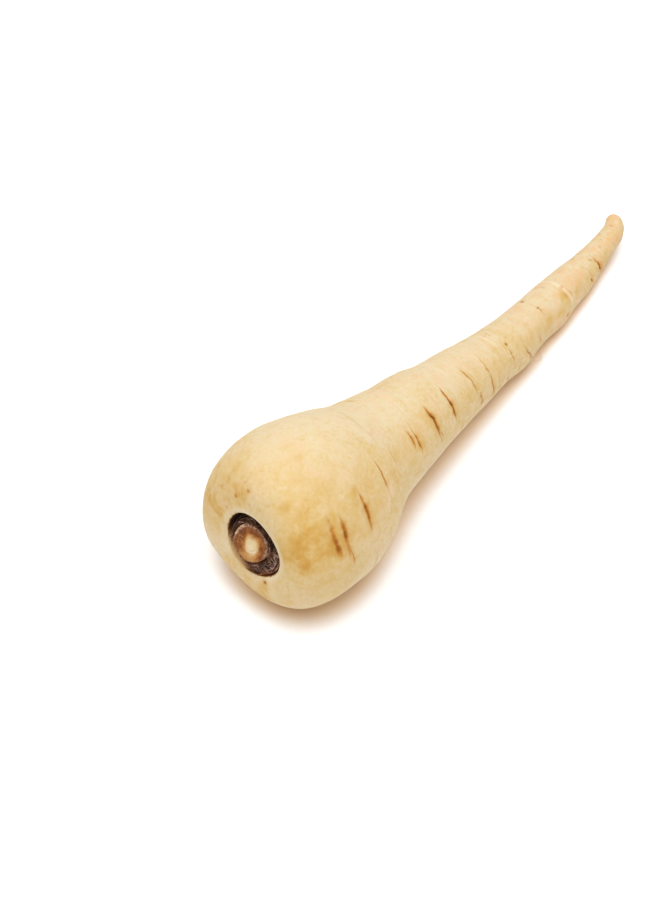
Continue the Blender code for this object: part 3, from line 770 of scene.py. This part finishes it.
def skinColours(start):
    tones = skinTones
    place = start.node("ShaderNodeTexCoord", {}, {}, "Object")
    unrolled = start.painted("unrolled", "Vector")
    station = start.node("ShaderNodeSeparateXYZ", {}, {0: unrolled}, 2) * -1
    big = place.scaled(58, 58, 58).cloud(2.0, 0.5)
    mid = place.scaled(190, 190, 190).cloud(3.0, 0.55, 0.4)
    small = place.scaled(420, 420, 420).cloud(3.0, 0.6, 0.3)
    fine = place.scaled(900, 900, 900).cloud(3.0, 0.6)
    grain = place.scaled(1900, 1900, 1900).cloud(2.0, 0.5)
    blotches = place.scaled(300, 300, 300).cloud(2.0, 0.6, 1.0)
    rings = unrolled.scaled(0.11, 0.11, 0.5).cloud(4.0, 0.6, 0.8)
    hairlines = unrolled.scaled(0.2, 0.2, 1.1).cloud(4.0, 0.6, 0.8)
    uneven = (mid - 0.5) * 2.6 + (small - 0.5) * 1.6
    # paler where painted fair: a random pale tone, and along the top of the root partly a painted sheen
    fair = (start.painted("fair") + (big - 0.5) * 1.2 + uneven * 0.5).between(0.0, 0.9)
    warm = start.painted("warm")
    colour = fair.over(tones["cream"], tones["ivory"])
    plain = 1 - fair * 0.6
    colour = (fair * small.between(0.45, 0.65) * 0.6).over(colour, tones["fair"])
    colour = (place.scaled(120, 120, 120).cloud(2.0, 0.5, 0.6).between(0.46, 0.66) * 0.5).over(colour, tones["blush"])
    colour = (mid.between(0.48, 0.70) * plain * 0.5).over(colour, tones["straw"])
    colour = (blotches.between(0.52, 0.68) * plain * 0.45).over(colour, tones["straw"])
    colour = (blotches.between(0.46, 0.34) * 0.4).over(colour, tones["ivory"])
    colour = (small.between(0.56, 0.70) * plain * 0.25).over(colour, tones["ochre"])
    colour = (fine.between(0.52, 0.68) * plain * 0.3).over(colour, tones["straw"])
    colour = (fine.between(0.46, 0.34) * 0.3).over(colour, tones["fair"])
    onTail = station.between(15, 110)
    colour = (rings.between(0.52, 0.68) * onTail * plain * 0.5).over(colour, tones["straw"])
    colour = (rings.between(0.47, 0.34) * onTail * 0.6).over(colour, tones["blush"])
    colour = (hairlines.between(0.58, 0.72) * onTail * 0.25).over(colour, tones["ochre"])
    colour = (station.between(135, 180) * mid.between(0.44, 0.6) * 0.5).over(colour, tones["peach"])
    # straw and ochre stains; low on the crown face partly painted shade
    stain = warm * (uneven * 0.6 + 0.9)
    colour = (stain.between(0.0, 0.85) * 0.92).over(colour, tones["straw"])
    colour = (stain.between(0.3, 1.15) * 0.8).over(colour, tones["ochre"])
    halo = start.painted("halo")
    colour = ((halo * (0.3 + small + fine * 0.5)).between(0.05, 0.9) * 0.8).over(colour, tones["ochre"])
    core = start.painted("core")
    ragged = core * (0.15 + small * 0.8 + fine * 0.8)
    colour = ragged.between(0.12, 0.45).over(colour, tones["rust"])
    colour = ragged.between(0.34, 0.72).over(colour, tones["brown"])
    colour = (ragged.between(0.62, 0.98) * 0.75).over(colour, tones["dark"])
    # painted highlight along the ridges' crests
    colour = (start.painted("pale") * 0.8).over(colour, tones["pale"])
    # the pit's paler lip, partly a painted highlight
    colour = (start.painted("lip") * 0.7).over(colour, tones["fair"])
    # the pit wall turns brown, then near black, deeper down: partly its own dark tissue, partly painted shade; far less
    # so on the fresh side
    inPit = start.painted("inPit")
    colour = (inPit + fine * 0.5).between(0.70, 1.0).over(colour, tones["brown"])
    colour = (inPit + fine * 0.5).between(0.80, 1.25).over(colour, tones["dark"])
    height = small * 0.5 + fine * 0.3 + grain * 0.15 + hairlines * onTail * 0.3 + mid * 0.5
    roughness = 0.48 + fine * 0.16 + core * 0.2
    return {"Base Color": colour, "Roughness": roughness, "Normal": height.bump(0.5, 0.35)}


def stumpColours(start):
    place = start.node("ShaderNodeTexCoord", {}, {}, "Object")
    fine = place.scaled(1300, 1300, 1300).cloud(4.0, 0.65)
    mid = place.scaled(420, 420, 420).cloud(3.0, 0.55)
    fromCore = start.painted("fromCore") + (mid - 0.5) * 0.55 + (fine - 0.5) * 0.3
    unrolled = start.painted("unrolled", "Vector")
    upwards = start.node("ShaderNodeSeparateXYZ", {}, {0: unrolled}, 1)
    stops = [
        (0.0, rgb(214, 200, 166)), (0.38, rgb(208, 186, 142)), (0.52, rgb(184, 138, 76)), (0.66, rgb(150, 90, 30)),
        (0.82, rgb(134, 76, 20)), (1.0, rgb(120, 70, 24)),
    ]
    colour = start.node("ShaderNodeValToRGB", {"stops": stops}, {"Fac": fromCore * 0.5})
    colour = (upwards.between(-3.0, -5.6) * 0.7).over(colour, rgb(178, 134, 80))
    colour = (upwards.between(1.5, 4.0) * mid.between(0.4, 0.6) * 0.7).over(colour, rgb(108, 54, 20))
    veins = unrolled.scaled(0.42, 0.42, 0.15).cloud(3.0, 0.65, 1.2)
    ringed = start.painted("fromCore")
    colour = (veins.between(0.52, 0.64) * ringed.between(1.0, 1.5) * 0.75).over(colour, rgb(86, 44, 18))
    colour = (veins.between(0.46, 0.36) * ringed.between(1.1, 1.6) * 0.5).over(colour, rgb(178, 122, 66))
    edge = start.painted("fromAxis") + (mid - 0.5) * 1.6 + (veins - 0.5) * 1.8
    pinkish = veins.between(0.36, 0.6).over(rgb(128, 84, 56), rgb(196, 164, 138))
    colour = (edge.between(5.7, 6.3) * upwards.between(-3.5, 1.5)).over(colour, pinkish)
    # its side below the face is dark brown, and painted paler where it nearly meets the skin, as painted light in the
    # narrow gap there
    towardsSkin = start.node("ShaderNodeSeparateXYZ", {}, {0: unrolled}, 0) * -0.56 - upwards * 0.83
    side = towardsSkin.between(1.5, 5.5).over(rgb(104, 66, 42), rgb(184, 144, 104))
    colour = (start.painted("depth") + fine).between(1.9, 2.9).over(colour, side)
    height = fine + mid * 0.6
    return {"Base Color": colour, "Roughness": 0.55 + fine * 0.3, "Normal": height.bump(0.7, 0.35)}


def baseColours(start):
    place = start.node("ShaderNodeTexCoord", {}, {}, "Object")
    threads = start.painted("ringed", "Vector").cloud(4.0, 0.62, 0.5)
    mid = place.scaled(330, 330, 330).cloud(3.0, 0.6)
    fine = place.scaled(1500, 1500, 1500).cloud(3.0, 0.6)
    colour = threads.between(0.36, 0.58).over(rgb(48, 28, 15), rgb(106, 74, 52))
    colour = (threads.between(0.54, 0.70) * mid.between(0.42, 0.62) * 0.8).over(colour, rgb(150, 114, 90))
    colour = (mid.between(0.56, 0.40) * 0.5).over(colour, rgb(58, 28, 16))
    # fresher where the stump nearly meets the skin
    facing = start.painted("facing")
    fresh = threads.between(0.42, 0.62).over(rgb(112, 72, 40), rgb(168, 124, 86))
    colour = facing.between(0.45, 0.92).over(colour, fresh)
    colour = (start.painted("greyed") * mid.between(0.35, 0.6) * 0.85).over(colour, rgb(132, 78, 46))
    colour = (start.painted("greyed") * threads.between(0.48, 0.62) * 0.8).over(colour, rgb(180, 140, 116))
    colour = (start.painted("skinSide") + (threads - 0.5) * 1.2).between(0.3, 0.75).over(colour, rgb(200, 166, 118))
    colour = (start.painted("shadowed") + (threads - 0.5) * 1.0).between(0.2, 0.8).over(colour, rgb(28, 12, 6))
    # painted shade: near black deeper down among the leaf bases, far less on the fresh side
    deep = (start.painted("depth") + mid).between(3.0, 4.8) * (1 - facing.between(0.5, 0.95) * 0.8)
    colour = deep.over(colour, rgb(24, 11, 6))
    height = threads + fine * 0.4
    return {"Base Color": colour, "Roughness": 0.7 + fine * 0.25, "Normal": height.bump(0.9, 0.3)}


def fibreColours(start):
    place = start.node("ShaderNodeTexCoord", {}, {}, "Object")
    mid = place.scaled(240, 240, 240).cloud(3.0, 0.6)
    colour = mid.between(0.4, 0.62).over(rgb(76, 50, 38), rgb(160, 128, 112))
    return {"Base Color": colour}


def hairColours(start):
    place = start.node("ShaderNodeTexCoord", {}, {}, "Object")
    colour = place.scaled(300, 300, 300).cloud(2.0, 0.5).between(0.35, 0.65).over(rgb(232, 216, 184), rgb(206, 178, 132))
    return {"Base Color": colour}


print("finishes")
waxy = {"Subsurface Weight": 0.12, "Subsurface Radius": (1.0, 0.55, 0.25), "Subsurface Scale": 0.0025, "Specular IOR Level": 0.12}
finishes = [
    (skin, finish("washedSkin", skinColours, waxy), "root", "skin"),
    (leafBases, finish("driedLeafBase", baseColours, {"Specular IOR Level": 0.12}), "dried_leaf_bases", "dried_base"),
    (cutStump, finish("cutStalk", stumpColours, {"Specular IOR Level": 0.3}), "cut_stalk_stump", "cut_face"),
    (fibres, finish("dryFibre", fibreColours, {"Roughness": 0.7}), None, "dried_base"),
    (rootletHairs, finish("rootlet", hairColours, {"Roughness": 0.55}), None, "skin"),
]
for piece, material, node, slot in finishes:
    piece.data.materials.clear()
    piece.data.materials.append(material)
    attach(piece, "root")
    if node:
        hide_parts(node)

# The stage, light and camera

stage = {
    "floor": 1.8,  # metres
    "floorDrop": 0.00015,
    "floorAndShadeColours": (rgb(238, 215, 188), rgb(242, 245, 251)),  # painted shadow beside what stands on it, and the floor's colour clear of it
    "floorGlow": ((0.14, 0.14, 0.14, 1), (0.6, 0.6, 0.6, 1)),  # the floor's painted glow, near and far
    # how far the painted shadow reaches, in metres
    "paintedShadowReach": 0.02,
    "skyColours": ((0.525, 0.42, 0.316, 1), (0.505, 0.468, 0.43, 1)),  # level and straight above
    "key": {"place": (-0.13, -0.06, 1.1), "size": 1.3, "power": 17.3, "colour": (1.0, 0.995, 0.985)},
}

view = {
    "azimuth": -49.9,
    "elevation": 50.0,
    "distance": 0.75,
    "target": (-0.0410, 0.0231, -0.0012),
    "lens": 84.8,
}


def floorAndShadeColours(start):
    # painted shadow and light: the floor is darker and warmer where things beside it hide its sky, and glows only clear
    # of them, more so further out
    clear = start.node("ShaderNodeAmbientOcclusion", {"samples": 16}, {"Distance": stage["paintedShadowReach"]}, 1)
    beside, away = stage["floorAndShadeColours"]
    place = start.node("ShaderNodeTexCoord", {}, {}, "Object")
    distance = start.node("ShaderNodeVectorMath", {"operation": "LENGTH"}, {0: place}, "Value")
    glow = distance.between(0.35, 0.9).over(*stage["floorGlow"])
    return {
        "Base Color": clear.between(0.37, 0.58).over(beside, away),
        "Emission Color": clear.between(0.42, 0.72).over(rgb(0, 0, 0), glow),
    }


def paleFloor():
    bpy.ops.object.select_all(action="DESELECT")
    bpy.ops.mesh.primitive_plane_add(size=stage["floor"], location=(0, 0, -stage["floorDrop"]))
    floor = bpy.context.object
    floor.name = "floor"
    matt = {"Roughness": 0.9, "Specular IOR Level": 0.1, "Emission Strength": 1.0}
    floor.data.materials.append(finish("paleFloor", floorAndShadeColours, matt))


def softLight():
    world = bpy.data.worlds.new("studio")
    bpy.context.scene.world = world
    world.use_nodes = True
    background = world.node_tree.nodes["Background"]
    dome = Wire(world.node_tree)
    direction = dome.node("ShaderNodeTexCoord", {}, {}, "Generated")
    height = dome.node("ShaderNodeSeparateXYZ", {}, {0: direction}, 2)
    level, above = stage["skyColours"]
    sky = height.between(0, 1).over(level, above)
    # behind the floor the camera sees plain white
    sky = dome.node("ShaderNodeLightPath", {}, {}, "Is Camera Ray").over(sky, (1, 1, 1, 1))
    world.node_tree.links.new(sky.socket, background.inputs["Color"])
    key = stage["key"]
    bpy.ops.object.select_all(action="DESELECT")
    bpy.ops.object.light_add(type="AREA", location=key["place"])
    lamp = bpy.context.object
    lamp.name = "keyLight"
    lamp.data.size = key["size"]
    lamp.data.energy = key["power"]
    lamp.data.color = key["colour"]
    lamp.rotation_euler = (-Vector(key["place"])).to_track_quat("-Z", "Y").to_euler()


def camera():
    turn, rise = math.radians(view["azimuth"]), math.radians(view["elevation"])
    back = Vector((math.sin(turn) * math.cos(rise), -math.cos(turn) * math.cos(rise), math.sin(rise)))
    bpy.ops.object.select_all(action="DESELECT")
    bpy.ops.object.camera_add(location=Vector(view["target"]) + back * view["distance"])
    eye = bpy.context.object
    eye.rotation_euler = (-back).to_track_quat("-Z", "Y").to_euler()
    eye.data.lens = view["lens"]
    eye.data.clip_start = 0.01
    bpy.context.scene.camera = eye


print("stage")
paleFloor()
softLight()
camera()
bpy.context.scene.view_settings.view_transform = "Standard"
